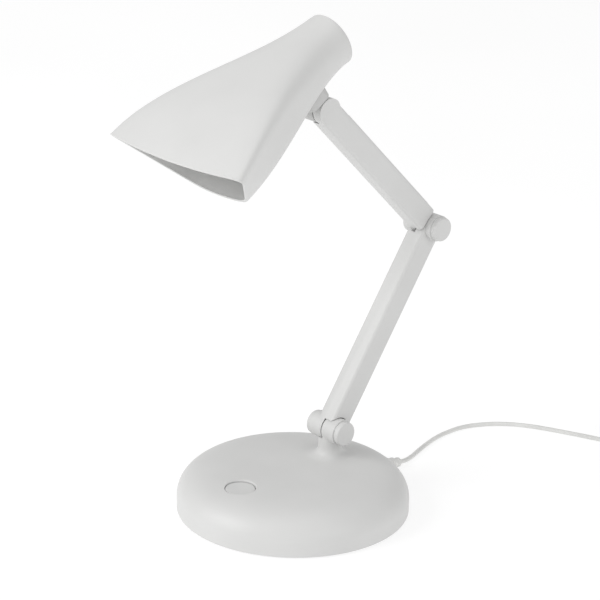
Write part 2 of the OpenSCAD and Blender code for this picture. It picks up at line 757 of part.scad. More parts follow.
module lower_arm_shell() {
    color("whitesmoke") lower_frame()
        arm_shell(lower_len, -1, 1, barrel_w, undef, fold + elbow_close)
            translate([0, lower_len, 0]) barrel_holes(1);
}
module lower_arm_cover() {
    color("whitesmoke") lower_frame() arm_cover(lower_len);
}
module lower_arm_screws() {
    color("silver") lower_frame() arm_screws(lower_len);
}
module lower_arm_lead() {
    color("gray") lower_frame() arm_lead(lower_len);
}
module upper_arm_shell() {
    color("whitesmoke") upper_frame()
        arm_shell(upper_len, -1, 1, ear_x, 180 - fold - elbow_close, undef)
            translate([0, upper_len, 0]) to_side(1) translate([0, 0, -lap])
                cylinder(r = insert_r + 0.02, h = lap + insert_depth, $fn = small_fn);
}
module upper_arm_cover() {
    color("whitesmoke") upper_frame() arm_cover(upper_len);
}
module upper_arm_screws() {
    color("silver") upper_frame() arm_screws(upper_len);
}
module upper_arm_lead() {
    color("gray") upper_frame() arm_lead(upper_len);
}

// ---------------------------------------------------------------- hinges

module base_bolt() {
    color("silver") at_base_hinge() bolt(1, sink_x + nut_t);
}
module base_nut() {
    color("silver") at_base_hinge() nut(-1);
}
module base_washer() {
    color("black") at_base_hinge() washer();
}
module base_near_cap() {
    color("whitesmoke") at_base_hinge() cap(1);
}
module base_far_cap() {
    color("whitesmoke") lower_frame() cap(-1);
}
module at_elbow() {
    translate([0, elbow_y, elbow_z]) children();
}
module elbow_bolt() {
    color("silver") at_elbow() bolt(1, sink_x + nut_t);
}
module elbow_nut() {
    color("silver") at_elbow() nut(-1);
}
module elbow_washer() {
    color("black") at_elbow() washer();
}
module elbow_near_cap() {
    color("whitesmoke") at_elbow() cap(1);
}
module elbow_far_cap() {
    color("whitesmoke") at_elbow() cap(-1);
}
module at_head() {
    translate([0, head_y, head_z]) children();
}
module head_bolt() {
    color("silver") at_head() bolt(-1, insert_depth - 0.4, 0.1);
}
module head_insert() {
    color("goldenrod") at_head() to_side(1) translate([0, 0, lap]) difference() {
        cylinder(r = insert_r, h = insert_depth - lap - 0.1, $fn = small_fn);
        translate([0, 0, -1]) cylinder(r = bolt_r + 0.02, h = through, $fn = small_fn);
    }
}
module head_washer() {
    color("black") at_head() washer();
}

// ---------------------------------------------------------------- head

foot_from = barrel_r + 1.4;
foot_to = 19;
foot_l = 16.6;
foot_ahead = 2.7;
foot_w = 15;
neck_w = 11;
foot_screw_z = 4.7;
foot_screw_y = 18.3;

module foot_holes(r) {
    for (s = [-1, 1]) translate([0, foot_to + 5, foot_ahead + s * foot_screw_z]) rotate([90, 0, 0])
        cylinder(r = r, h = 12, $fn = small_fn);
}
module head_bracket() {
    color("gainsboro") difference() {
        bracket_frame() difference() {
            union() {
                barrel(-1, barrel_w);
                translate([-ear_x, 0, -neck_w / 2]) cube([ear_x - lap, foot_from + 1, neck_w]);
                translate([0, foot_from, foot_ahead]) rotate([-90, 0, 0])
                    linear_extrude(foot_to - foot_from) polygon(rounded_rect(foot_w, foot_l, 4));
            }
            barrel_holes(-1);
            foot_holes(small_screw_r + 0.02);
        }
        hood_slice(0.01, 0.5, -0.02, 8);
    }
}
module head_cap() {
    color("whitesmoke") bracket_frame() cap(-1);
}
module bracket_screws() {
    color("silver") bracket_frame() for (s = [-1, 1])
        translate([0, foot_screw_y, foot_ahead + s * foot_screw_z]) rotate([-90, 0, 0])
            screw(small_head_r, screw_head_t, small_screw_r, bracket_screw_len);
}
module hood_shell() {
    n = hood_sides;
    m = hood_rings;
    // rings 0 to m are outside, rings m + 1 to 2 m + 1 are inside, from the rear end forwards
    points = concat(
        [for (i = [0 : m]) each hood_ring(i / m, 0)],
        [for (i = [0 : m]) each hood_ring(i / m, hood_wall)]
    );
    outside = [for (i = [0 : m - 1], k = [0 : n - 1]) let (j = (k + 1) % n)
        each quad(i * n + k, (i + 1) * n + k, (i + 1) * n + j, i * n + j)];
    shift = (m + 1) * n;
    inside = [for (i = [0 : m - 1], k = [0 : n - 1]) let (j = (k + 1) % n)
        each quad(shift + i * n + j, shift + (i + 1) * n + j, shift + (i + 1) * n + k,
            shift + i * n + k)];
    rear = [for (k = [0 : n - 1]) let (j = (k + 1) % n) each quad(j, shift + j, shift + k, k)];
    rim = [for (k = [0 : n - 1]) let (j = (k + 1) % n)
        each quad(m * n + k, shift + m * n + k, shift + m * n + j, m * n + j)];
    color("white") difference() {
        hood_frame() polyhedron(points, concat(outside, inside, rear, rim));
        bracket_frame() foot_holes(1.1);
    }
}
module hood_rear_cap() {
    color("white") hood_frame() rotate([-90, 0, 0]) {
        translate([0, 0, -1.2]) rotate_extrude($fn = round_fn) polygon([
            [0, 0], [hood_r - 0.9, 0], [hood_r - 0.25, 0.35], [hood_r, 1], [hood_r, 1.15], [0, 1.15]
        ]);
        difference() {
            translate([0, 0, -0.1]) cylinder(r = hood_r - hood_wall - 0.25, h = 4, $fn = round_fn);
            cylinder(r = hood_r - hood_wall - 1.6, h = 5, $fn = round_fn);
        }
    }
}
module led_board() {
    color("silver") hood_slice(board_t0 - 0.014, board_t0, hood_wall + 0.1, 1);
}
module led_chips() {
    color("khaki") on_section(board_t0)
        for (x = [-15 : 6 : 15], y = [-5, 5]) translate([x - 1.4, y - 1.4, 0.18]) cube([2.8, 2.8, 0.8]);
}
module light_frame() {
    color("white") difference() {
        hood_slice(light_t0 - 0.03, light_t0, hood_wall + 0.1, 1);
        hood_slice(light_t0 - 0.04, light_t0 + 0.01, hood_wall + 2.4, 1);
    }
}
module diffuser() {
    color("ivory") hood_slice(light_t0 - 0.02, light_t0 - 0.005, hood_wall + 2.5, 1);
}
module head_lead() {
    color("gray") hood_frame() for (s = [-1, 1]) translate([s * 0.8, 8, -6]) rotate([-90, 0, 0])
        cylinder(r = 0.7, h = hood_mid(board_t0)[0] - 12, $fn = 16);
}

// ---------------------------------------------------------------- nodes

base_shell();
base_post();
base_plate();
non_slip_pad();
ballast_weight();
ballast_screws();
base_screws();
control_board();
tact_switch();
board_screws();
cord_clamp();
clamp_screws();
base_lead();
strain_relief();
power_cord();
power_cord_coil();
cord_tie();
usb_plug_grip();
usb_plug_shell();
usb_contact_block();
power_button();
base_bolt();
base_nut();
base_washer();
base_near_cap();
lower_arm_shell();
lower_arm_cover();
lower_arm_screws();
lower_arm_lead();
base_far_cap();
elbow_bolt();
elbow_nut();
elbow_washer();
elbow_near_cap();
upper_arm_shell();
upper_arm_cover();
upper_arm_screws();
upper_arm_lead();
elbow_far_cap();
head_bolt();
head_insert();
head_washer();
head_bracket();
head_cap();
bracket_screws();
hood_shell();
hood_rear_cap();
led_board();
led_chips();
light_frame();
diffuser();
head_lead();
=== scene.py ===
# Desk lamp: lead, weighted base, two half-lapped arms, friction hinges and a flared hood.
import json
import math

import bmesh
import bpy
from mathutils import Matrix, Vector

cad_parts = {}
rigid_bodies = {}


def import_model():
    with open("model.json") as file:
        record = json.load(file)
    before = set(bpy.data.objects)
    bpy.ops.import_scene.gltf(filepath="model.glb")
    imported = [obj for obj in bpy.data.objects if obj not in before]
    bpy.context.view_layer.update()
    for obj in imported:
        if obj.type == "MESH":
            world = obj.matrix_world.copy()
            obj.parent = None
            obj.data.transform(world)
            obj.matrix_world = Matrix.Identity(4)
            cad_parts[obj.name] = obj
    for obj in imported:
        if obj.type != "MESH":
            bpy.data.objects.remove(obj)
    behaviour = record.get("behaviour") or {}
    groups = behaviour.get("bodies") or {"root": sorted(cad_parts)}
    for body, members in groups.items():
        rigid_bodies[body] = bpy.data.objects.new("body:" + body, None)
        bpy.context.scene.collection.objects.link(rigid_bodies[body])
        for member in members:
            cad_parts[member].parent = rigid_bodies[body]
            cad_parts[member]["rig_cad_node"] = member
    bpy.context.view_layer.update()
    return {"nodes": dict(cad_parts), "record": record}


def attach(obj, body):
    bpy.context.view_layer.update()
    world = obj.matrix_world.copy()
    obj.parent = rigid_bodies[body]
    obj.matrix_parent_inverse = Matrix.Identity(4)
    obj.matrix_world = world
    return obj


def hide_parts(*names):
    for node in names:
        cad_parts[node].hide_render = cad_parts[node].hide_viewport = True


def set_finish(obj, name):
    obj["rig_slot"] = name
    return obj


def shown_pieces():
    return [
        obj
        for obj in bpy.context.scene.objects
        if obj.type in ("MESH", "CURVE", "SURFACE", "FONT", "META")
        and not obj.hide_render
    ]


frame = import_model()
mm = 0.001


camera = dict(turn=47.0, rise=20.84, roll=1.06, distance=1.462, across=0.00207, height=0.1338, lens=150.0)


def placeCamera(c):
    turn, rise, roll = (math.radians(c[k]) for k in ("turn", "rise", "roll"))
    back = Vector((math.sin(turn) * math.cos(rise), -math.cos(turn) * math.cos(rise), math.sin(rise)))
    level = Vector((math.cos(turn), math.sin(turn), 0))
    plumb = back.cross(level)
    right = level * math.cos(roll) + plumb * math.sin(roll)
    up = plumb * math.cos(roll) - level * math.sin(roll)
    data = bpy.data.cameras.new("camera")
    data.lens = c["lens"]
    data.sensor_width = 36
    data.clip_end = 20
    shot = bpy.data.objects.new("camera", data)
    place = Vector((0, 0, c["height"])) + level * c["across"] + back * c["distance"]
    shot.matrix_world = Matrix((right, up, back)).transposed().to_4x4()
    shot.location = place
    bpy.context.scene.collection.objects.link(shot)
    bpy.context.scene.camera = shot


placeCamera(camera)
print("camera placed")


lead = dict(
    diameter=2.8,
    length=1200,
    out=(0, 90.31, 3.0),  # the end of the strain relief
    table=[(-1, 97, 2), (-3, 104, 1.5), (-7, 115, 1.5), (-11, 127, 1.5), (-14, 139, 1.5), (-15, 151, 1.5),
           (-14, 163, 1.5), (-9, 175, 1.5), (-1, 186, 1.5), (10, 195, 1.5), (23, 202, 1.5), (37, 208, 1.5),
           (51, 213.5, 1.6), (64, 217.5, 1.8)],
    coilMiddle=(73, 242),
    coilRadius=15.2,
    coilPitch=2.83,
    coilStart=-83,
    coilTurns=10.23,
    coilFloor=1.95,
    coilSteps=18,
    tail=[(95.9, 249, 4.7), (98.5, 254.5, 4.5), (103.5, 257, 4.3), (108.5, 254.5, 4.1),
          (111, 249, 4), (111.3, 243, 4)],
)


# The coil winds inward on the table, then outward again on top of itself
def coilPoints(s):
    half = s["coilTurns"] / 2
    outer = s["coilRadius"] + half * s["coilPitch"] / 2
    points = []
    count = round(s["coilTurns"] * s["coilSteps"])
    for i in range(count + 1):
        turn = s["coilTurns"] * i / count
        radius = outer - s["coilPitch"] * min(turn, 2 * half - turn)
        lift = min(max((turn - half) * 2 + 0.5, 0), 1)
        angle = math.radians(s["coilStart"]) + turn * 2 * math.pi
        points.append((s["coilMiddle"][0] + radius * math.cos(angle), s["coilMiddle"][1] + radius * math.sin(angle),
                       s["coilFloor"] + s["diameter"] * lift * lift * (3 - 2 * lift)))
    return points


def layLead(s):
    curve = bpy.data.curves.new("powerLead", "CURVE")
    curve.dimensions = "3D"
    curve.bevel_depth = 1  # times each knot's radius, which also counts in the lead's own box
    curve.bevel_resolution = 6
    curve.resolution_u = 6
    curve.use_fill_caps = True
    points = [s["out"]] + s["table"] + coilPoints(s) + s["tail"]
    spline = curve.splines.new("BEZIER")
    spline.bezier_points.add(len(points) - 1)
    for knot, p in zip(spline.bezier_points, points):
        knot.co = Vector(p) * mm
        knot.radius = s["diameter"] / 2 * mm
        knot.handle_left_type = knot.handle_right_type = "AUTO"
    piece = bpy.data.objects.new("powerLead", curve)
    bpy.context.scene.collection.objects.link(piece)
    return piece


powerLead = layLead(lead)
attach(powerLead, "base")
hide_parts("power_cord", "power_cord_coil")
print("lead laid")


# Meshes are in millimetres until finishPiece
def roundedRect(w, h, r, steps=6):
    points = []
    for q in range(4):
        cx = (w / 2 - r) * (1 if q in (0, 3) else -1)
        cy = (h / 2 - r) * (1 if q < 2 else -1)
        for i in range(steps + 1):
            a = math.pi / 2 * (q + i / steps)
            points.append((cx + r * math.cos(a), cy + r * math.sin(a)))
    return points


# Rings of points, joined in order; closed rings, and ends filled where asked
def loft(rings, startCap=True, endCap=True):
    mesh = bmesh.new()
    rows = [[mesh.verts.new(p) for p in ring] for ring in rings]
    for a, b in zip(rows, rows[1:]):
        for i in range(len(a)):
            j = (i + 1) % len(a)
            mesh.faces.new((a[i], a[j], b[j], b[i]))
    if startCap:
        mesh.faces.new(rows[0][::-1])
    if endCap:
        mesh.faces.new(rows[-1])
    bmesh.ops.recalc_face_normals(mesh, faces=mesh.faces)
    return mesh


# Turns (radius, height) points round Z; a radius of 0 closes the end
def lathe(profile, count=128):
    rings = []
    for r, z in profile:
        r = max(r, 0.001)
        rings.append([(r * math.cos(2 * math.pi * k / count), r * math.sin(2 * math.pi * k / count), z)
                      for k in range(count)])
    return loft(rings)


# Rounds the corners of a profile with an arc of the given radius at each inner point
def softened(profile, radii, steps=5):
    out = [profile[0]]
    for i in range(1, len(profile) - 1):
        r = radii[i] if isinstance(radii, (list, tuple)) else radii
        p, a, b = (Vector(profile[k]) for k in (i, i - 1, i + 1))
        if r <= 0:
            out.append(tuple(p))
            continue
        da, db = (a - p), (b - p)
        cut = min(r, da.length * 0.49, db.length * 0.49)
        start, end = p + da.normalized() * cut, p + db.normalized() * cut
        for k in range(steps + 1):
            u = k / steps
            out.append(tuple(start * (1 - u) ** 2 + p * 2 * u * (1 - u) + end * u * u))
    out.append(profile[-1])
    return out


def toSide(side):
    return Matrix.Rotation(side * math.pi / 2, 4, "Y")


def moved(mesh, matrix):
    bmesh.ops.transform(mesh, matrix=matrix, verts=mesh.verts)
    return mesh


def cylinder(r, z0, z1, count=96):
    return lathe([(0, z0), (r, z0), (r, z1), (0, z1)], count)


def block(low, high):
    mesh = bmesh.new()
    bmesh.ops.create_cube(mesh, size=1)
    size = [h - l for l, h in zip(low, high)]
    middle = [(h + l) / 2 for l, h in zip(low, high)]
    return moved(mesh, Matrix.Translation(middle) @ Matrix.Diagonal((*size, 1)))


def asObject(name, mesh):
    data = bpy.data.meshes.new(name)
    mesh.to_mesh(data)
    mesh.free()
    piece = bpy.data.objects.new(name, data)
    bpy.context.scene.collection.objects.link(piece)
    return piece


def bake(piece):
    shown = piece.evaluated_get(bpy.context.evaluated_depsgraph_get())
    data = bpy.data.meshes.new_from_object(shown)
    piece.modifiers.clear()
    piece.data = data


# Cuts away or joins on each (mesh, operation) in turn
def carve(piece, tools):
    for mesh, operation in tools:
        tool = asObject("tool", mesh)
        cut = piece.modifiers.new("cut", "BOOLEAN")
        cut.object = tool
        cut.operation = operation
        cut.solver = "EXACT"
        bake(piece)
        bpy.data.objects.remove(tool)


def finishPiece(piece, matrix, body, slot, nodes, edge=0, angle=35):
    piece.data.transform(Matrix.Scale(mm, 4) @ matrix)
    if edge:
        round_ = piece.modifiers.new("roundedEdges", "BEVEL")
        round_.width = edge * mm
        round_.segments = 3
        round_.limit_method = "ANGLE"
        round_.angle_limit = math.radians(angle)
        bake(piece)
    piece.data.polygons.foreach_set("use_smooth", [True] * len(piece.data.polygons))
    piece.data.set_sharp_from_angle(angle=math.radians(angle))
    even = piece.modifiers.new("evenFaces", "WEIGHTED_NORMAL")
    even.keep_sharp = True
    even.weight = 100
    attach(piece, body)
    if nodes:
        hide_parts(*nodes)
    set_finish(piece, slot)
    return piece


# Sizes that several pieces share
hinge = dict(barrel=8.0, lap=0.45, outer=10.3, room=8.5, boltHole=2.05, sinkRadius=5.0, sinkDepth=3.6)
arms = dict(width=13.0, depth=15.4, edge=2.2, lower=137.0, upper=126.5, lowerAngle=55.6, upperAngle=135.0, close=10.0)
post = dict(y=30.0, hingeZ=43.7, neck=7.15, flare=16.5, neckZ=34.4)

lowerTurn = math.radians(arms["lowerAngle"])
upperTurn = math.radians(arms["upperAngle"])
baseHinge = Vector((0, post["y"], post["hingeZ"]))
elbow = baseHinge + arms["lower"] * Vector((0, math.cos(lowerTurn), math.sin(lowerTurn)))
headHinge = elbow + arms["upper"] * Vector((0, math.cos(upperTurn), math.sin(upperTurn)))
lowerPlace = Matrix.Translation(baseHinge) @ Matrix.Rotation(lowerTurn, 4, "X")
upperPlace = Matrix.Translation(elbow) @ Matrix.Rotation(upperTurn, 4, "X")
here = Matrix.Identity(4)


base = dict(radius=70.0, height=26.5, side=9.0, acrossPower=6.9, heightPower=1.85, wall=2.4, bottom=0.8,
            bottomEdge=0.6, holeRadius=9.3, holeEdge=0.35, holeY=-42.5, holeChamfer=1.5, holeRimAt=45,
            holeLow=15, holeHigh=40,
            slotRadius=3.76, slotStart=-2, slotEnd=18, slotAt=(0, 66, 8.4), slotTurn=-102.5)


def domeHeight(r):
    b = base
    across = max(0, 1 - (r / b["radius"]) ** b["acrossPower"])
    return b["side"] + (b["height"] - b["side"]) * across ** (1 / b["heightPower"])


def domeCurve(inset, count=70):
    b = base
    fine = []
    for i in range(1001):
        a = math.pi / 2 * i / 1000
        fine.append(Vector(((b["radius"] - inset) * math.sin(a) ** (2 / b["acrossPower"]),
                            b["side"] + (b["height"] - b["side"] - inset) * math.cos(a) ** (2 / b["heightPower"]))))
    return evenly(fine, count)


# The same line, walked in equal steps
def evenly(line, count):
    run = [0.0]
    for a, b in zip(line, line[1:]):
        run.append(run[-1] + (b - a).length)
    out, k = [], 0
    for i in range(count + 1):
        want = run[-1] * i / count
        while k < len(run) - 2 and run[k + 1] < want:
            k += 1
        span = run[k + 1] - run[k]
        u = (want - run[k]) / span if span else 0
        out.append(line[k].lerp(line[k + 1], u))
    return out


def buildDome():
    b = base
    outside = [tuple(p) for p in domeCurve(0)]
    inside = [tuple(p) for p in domeCurve(b["wall"], 30)]
    inside.reverse()
    r, low, e = b["radius"], b["bottom"], b["bottomEdge"]
    foot = [(r, low + e), (r - e * 0.3, low + e * 0.3), (r - e, low), (r - b["wall"], low)]
    profile = [(0, b["height"])] + outside[1:] + foot + inside[:-1] + [(0, b["height"] - b["wall"])]
    dome = asObject("baseDome", lathe(profile, 256))
    edge = domeHeight(b["holeRimAt"]) - b["holeEdge"]
    hole = lathe([(0, b["holeLow"]), (b["holeRadius"], b["holeLow"]), (b["holeRadius"], edge),
                  (b["holeRadius"] + b["holeChamfer"], edge + b["holeChamfer"]), (0, b["holeHigh"])], 128)
    moved(hole, Matrix.Translation((0, b["holeY"], 0)))
    slotPlace = Matrix.Translation(b["slotAt"]) @ Matrix.Rotation(math.radians(b["slotTurn"]), 4, "X")
    slot = moved(cylinder(b["slotRadius"], b["slotStart"], b["slotEnd"], 64), slotPlace)
    carve(dome, [(hole, "DIFFERENCE"), (slot, "DIFFERENCE")])
    return finishPiece(dome, here, "base", "white_shell", ["base_shell"])


# The post flows out of the dome, narrows to its neck and carries the near barrel
def buildPost():
    p, h = post, hinge
    rings, count, steps = [], 128, 40
    for i in range(steps + 1):
        u = i / steps
        spread = p["neck"] + (p["flare"] - p["neck"]) * (1 - u) ** 2.6
        blend = u * u * (3 - 2 * u)
        ring = []
        for k in range(count):
            a = 2 * math.pi * k / count
            x, y = spread * math.cos(a), p["y"] + spread * math.sin(a)
            onDome = domeHeight(math.hypot(x, y))
            rise = (p["neckZ"] - base["height"]) * u ** 1.9
            ring.append((x, y, (onDome + rise) * (1 - blend) + (base["height"] + rise) * blend + 0.004))
        rings.append(ring)
    top = [(p["neck"] * math.cos(2 * math.pi * k / count), p["y"] + p["neck"] * math.sin(2 * math.pi * k / count),
            p["hingeZ"]) for k in range(count)]
    low = [(x, y, z - 1.2) for x, y, z in rings[0]]
    stem = asObject("basePost", loft([low] + rings + [top]))
    place = Matrix.Translation(baseHinge)
    room = moved(cylinder(h["room"], -h["lap"], 30), place @ toSide(-1))
    above = moved(block((-30, -30, 0), (h["lap"], 30, 30)), place)
    barrel = moved(cylinder(h["barrel"], h["lap"], h["outer"]), place @ toSide(1))
    hole = moved(cylinder(h["boltHole"], -5, 30, 48), place @ toSide(1))
    sink = moved(cylinder(h["sinkRadius"], h["outer"] - h["sinkDepth"], 30), place @ toSide(1))
    carve(stem, [(room, "DIFFERENCE"), (above, "DIFFERENCE"), (barrel, "UNION"), (hole, "DIFFERENCE"),
                 (sink, "DIFFERENCE")])
    return finishPiece(stem, here, "base", "white_shell", ["base_post"], angle=8)


baseDome = buildDome()
basePost = buildPost()
print("base built")

button = dict(radius=9.0, y=-42.5, top=25.4, dish=0.35, edge=0.7, flange=10.6, flangeTop=22.0, flangeLow=20.7,
              stem=2.0, stemLow=19.2)


def buildButton(s):
    top = [(0, s["top"] - s["dish"])]
    for i in range(1, 9):
        u = i / 9
        top.append((s["radius"] * u, s["top"] - s["dish"] * (1 - u * u)))
    rim = [(s["radius"] - s["edge"], s["top"] - 0.02), (s["radius"] - s["edge"] * 0.3, s["top"] - s["edge"] * 0.28),
           (s["radius"], s["top"] - s["edge"])]
    under = [(s["radius"], s["flangeTop"]), (s["flange"], s["flangeTop"]), (s["flange"], s["flangeLow"]),
             (s["stem"], s["flangeLow"]), (s["stem"], s["stemLow"]), (0, s["stemLow"])]
    piece = asObject("pushButton", lathe(top + rim + under, 128))
    return finishPiece(piece, Matrix.Translation((0, s["y"], 0)), "power_button", "button_plastic", ["power_button"])


pushButton = buildButton(button)

relief = dict(start=66.0, height=8.4, drop=-12.5, length=25.0, thick=3.7, thin=2.5, rib=0.5, ribs=4)


def buildRelief(s):
    profile = [(0, 0), (s["thick"], 0)]
    for i in range(s["ribs"]):
        z = s["length"] * (0.34 + 0.6 * i / (s["ribs"] - 1))
        r = s["thick"] + (s["thin"] - s["thick"]) * z / s["length"]
        profile += [(r, z - 1.3), (r + s["rib"], z - 0.95), (r + s["rib"], z + 0.35), (r, z + 0.7)]
    profile += [(s["thin"], s["length"] - 0.3), (s["thin"] - 0.3, s["length"]), (0, s["length"])]
    piece = asObject("strainRelief", lathe(softened(profile, 0.25, 3), 64))
    place = Matrix.Translation((0, s["start"], s["height"])) @ Matrix.Rotation(math.radians(s["drop"] - 90), 4, "X")
    return finishPiece(piece, place, "base", "lead_pvc", ["strain_relief"])


strainRelief = buildRelief(relief)
print("button and strain relief built")


arm = dict(endBlock=16.0, coverLip=1.1, coverThick=1.8, gap=0.1, screwInset=24.0, screwHole=2.4)


def lapRoom(side, other):
    h, half = hinge, arms["depth"] / 2 + 0.5
    tools = [moved(cylinder(h["room"], -h["lap"], 20), toSide(side))]
    if other is not None:
        low, high = (-h["lap"], 20) if side > 0 else (-20, h["lap"])
        tools.append(moved(block((low, -60, -half), (high, 60, half)), Matrix.Rotation(math.radians(other), 4, "X")))
    return tools


def buildArm(name, length, place, body, lastOuter, firstOther, lastOther, nodes):
    a, h, end = arms, hinge, Matrix.Translation((0, length, 0))
    outline = roundedRect(a["width"], a["depth"], a["edge"], 12)
    shell = asObject(name, loft([[(x, y, z) for x, z in outline] for y in (0, length)]))
    tools = [(m, "DIFFERENCE") for m in lapRoom(1, firstOther)]
    tools += [(moved(m, end), "DIFFERENCE") for m in lapRoom(-1, lastOther)]
    tools += [(moved(cylinder(h["barrel"], h["lap"], h["outer"]), toSide(-1)), "UNION"),
              (moved(cylinder(h["barrel"], h["lap"], lastOuter), end @ toSide(1)), "UNION")]
    pocket = block((-a["width"] / 2 + arm["coverLip"], arm["endBlock"] - 1, -a["depth"] / 2 - 1),
                   (a["width"] / 2 - arm["coverLip"], length - arm["endBlock"] + 1,
                    -a["depth"] / 2 + arm["coverThick"]))
    tools.append((pocket, "DIFFERENCE"))
    tools.append((moved(cylinder(h["sinkRadius"], h["outer"] - h["sinkDepth"], 20), toSide(-1)), "DIFFERENCE"))
    if lastOuter > 8:
        sink = cylinder(h["sinkRadius"], h["outer"] - h["sinkDepth"], 20)
        tools.append((moved(sink, end @ toSide(1)), "DIFFERENCE"))
    carve(shell, tools)
    finishPiece(shell, place, body, "white_shell", [nodes[0]], angle=5)
    lip, g = arm["coverLip"], arm["gap"]
    cover = asObject(name + "Cover", block(
        (-a["width"] / 2 + lip + g, arm["endBlock"] - 1 + g, -a["depth"] / 2),
        (a["width"] / 2 - lip - g, length - arm["endBlock"] + 1 - g, -a["depth"] / 2 + arm["coverThick"])))
    holes = [moved(cylinder(arm["screwHole"], -1, 1, 48), Matrix.Translation((0, s, -a["depth"] / 2)))
             for s in (arm["screwInset"], length - arm["screwInset"])]
    carve(cover, [(m, "DIFFERENCE") for m in holes])
    finishPiece(cover, place, body, "white_shell", [nodes[1]], edge=0.2)
    return shell, cover


fold = arms["upperAngle"] - arms["lowerAngle"]
lowerArm, lowerCover = buildArm("lowerArm", arms["lower"], lowerPlace, "lower_arm", hinge["outer"],
                                None, fold + arms["close"], ["lower_arm_shell", "lower_arm_cover"])
upperArm, upperCover = buildArm("upperArm", arms["upper"], upperPlace, "upper_arm", arms["width"] / 2 - 0.012,
                                180 - fold - arms["close"], None, ["upper_arm_shell", "upper_arm_cover"])
print("arms built")

hingeCap = dict(radius=7.4, thick=3.5, chamfer=0.9, start=10.3, spigot=4.95, spigotDepth=1.0)


def buildCap(name, place, side, body, node):
    s = hingeCap
    face = [(0, s["thick"]), (s["radius"] - s["chamfer"], s["thick"]),
            (s["radius"] - s["chamfer"] * 0.3, s["thick"] - s["chamfer"] * 0.3),
            (s["radius"], s["thick"] - s["chamfer"]),
            (s["radius"], 0), (s["spigot"], 0), (s["spigot"], -s["spigotDepth"]), (0, -s["spigotDepth"])]
    soft = softened(face, [0, 0.35, 0.3, 0.35, 0.12, 0.05, 0.1, 0], 4)
    piece = asObject(name, lathe([(r, z + s["start"]) for r, z in soft], 96))
    return finishPiece(piece, place @ toSide(side), body, "white_shell", [node])


buildCap("baseNearCap", Matrix.Translation(baseHinge), 1, "base", "base_near_cap")
buildCap("baseFarCap", Matrix.Translation(baseHinge), -1, "lower_arm", "base_far_cap")
buildCap("elbowNearCap", Matrix.Translation(elbow), 1, "lower_arm", "elbow_near_cap")
buildCap("elbowFarCap", Matrix.Translation(elbow), -1, "upper_arm", "elbow_far_cap")
buildCap("headCap", Matrix.Translation(headHinge), -1, "head", "head_cap")
print("hinge caps built")


hood = dict(rear=16.4, length=126.5, lipRise=6.2, lipSetback=20.8, lipDrop=35.3, halfWidth=41.8, taper=0.43,
            square=9.0, upperBow=3.7, lowerBow=1.5, wall=1.8, tilt=23.6, back=4.8, up=40.6,
            upperSwell=(1.2, 12.0), lowerSwell=(4.2, -2.8), sideSwell=4.5, squareGrowth=1.87, taperGrowth=0.48,
            widthGrowth=1.05, rings=72, points=240)
hoodPlace = (Matrix.Translation(headHinge + Vector((0, hood["back"], hood["up"])))
             @ Matrix.Rotation(math.radians(hood["tilt"]), 4, "X") @ Matrix.Rotation(math.pi, 4, "Z"))


def bend(p0, p1, swell, t):
    d = p1 - p0
    n = Vector((-d.y, d.x)) / d.length
    c1, c2, u = p0 + d / 3 + n * swell[0], p0 + d * 2 / 3 + n * swell[1], 1 - t
    return p0 * u ** 3 + c1 * 3 * t * u * u + c2 * 3 * t * t * u + p1 * t ** 3


def signedPower(v, e):
    return math.copysign(abs(v) ** e, v) if v else 0.0


# One cross-section of the hood, moved in from its surface, in equal steps round it
def hoodRing(t, inset, count, push=0.0):
    s = hood
    top = bend(Vector((0, s["rear"])), Vector((s["length"], s["lipRise"])), s["upperSwell"], t)
    low = bend(Vector((0, -s["rear"])), Vector((s["length"] - s["lipSetback"], -s["lipDrop"])), s["lowerSwell"], t)
    middle, up, half = (top + low) / 2, (top - low).normalized(), (top - low).length / 2
    ahead = Vector((up.y, -up.x))
    wide = (s["rear"] + (s["halfWidth"] - s["rear"]) * t ** s["widthGrowth"]
            + s["sideSwell"] * 4 * t * (1 - t) * (2 * t - 1))
    e = 2 / (2 + (s["square"] - 2) * t ** s["squareGrowth"])
    line = []
    for k in range(721):
        a = 2 * math.pi * k / 720
        v, c = signedPower(math.sin(a), e), signedPower(math.cos(a), e)
        bow = (s["upperBow"] if v > 0 else s["lowerBow"]) * (1 - c * c) * t ** 3 + push
        p = middle + up * ((half - inset) * v) + ahead * bow
        line.append(Vector(((wide - inset) * c * (1 + s["taper"] * t ** s["taperGrowth"] * v), p.x, p.y)))
    return [tuple(p) for p in evenly(line, count)[:-1]]


def buildHood(s):
    rings = [hoodRing(i / s["rings"], 0, s["points"]) for i in range(s["rings"] + 1)]
    half = s["wall"] / 2
    for i in range(1, 6):  # the rim is rounded over
        a = math.pi * i / 6
        rings.append(hoodRing(1, half - half * math.cos(a), s["points"], push=0.5 * math.sin(a) - 0.5))
    rings += [hoodRing(1 - i / s["rings"], s["wall"], s["points"]) for i in range(s["rings"] + 1)]
    rings[s["rings"]] = hoodRing(1, 0, s["points"], push=-0.5)
    rings[s["rings"] + 6] = hoodRing(1, s["wall"], s["points"], push=-0.5)
    mesh = loft(rings + [rings[0]], False, False)
    bmesh.ops.remove_doubles(mesh, verts=mesh.verts, dist=0.0005)
    bmesh.ops.recalc_face_normals(mesh, faces=mesh.faces)
    piece = asObject("hood", mesh)
    return finishPiece(piece, hoodPlace, "head", "white_shell", ["hood_shell"])


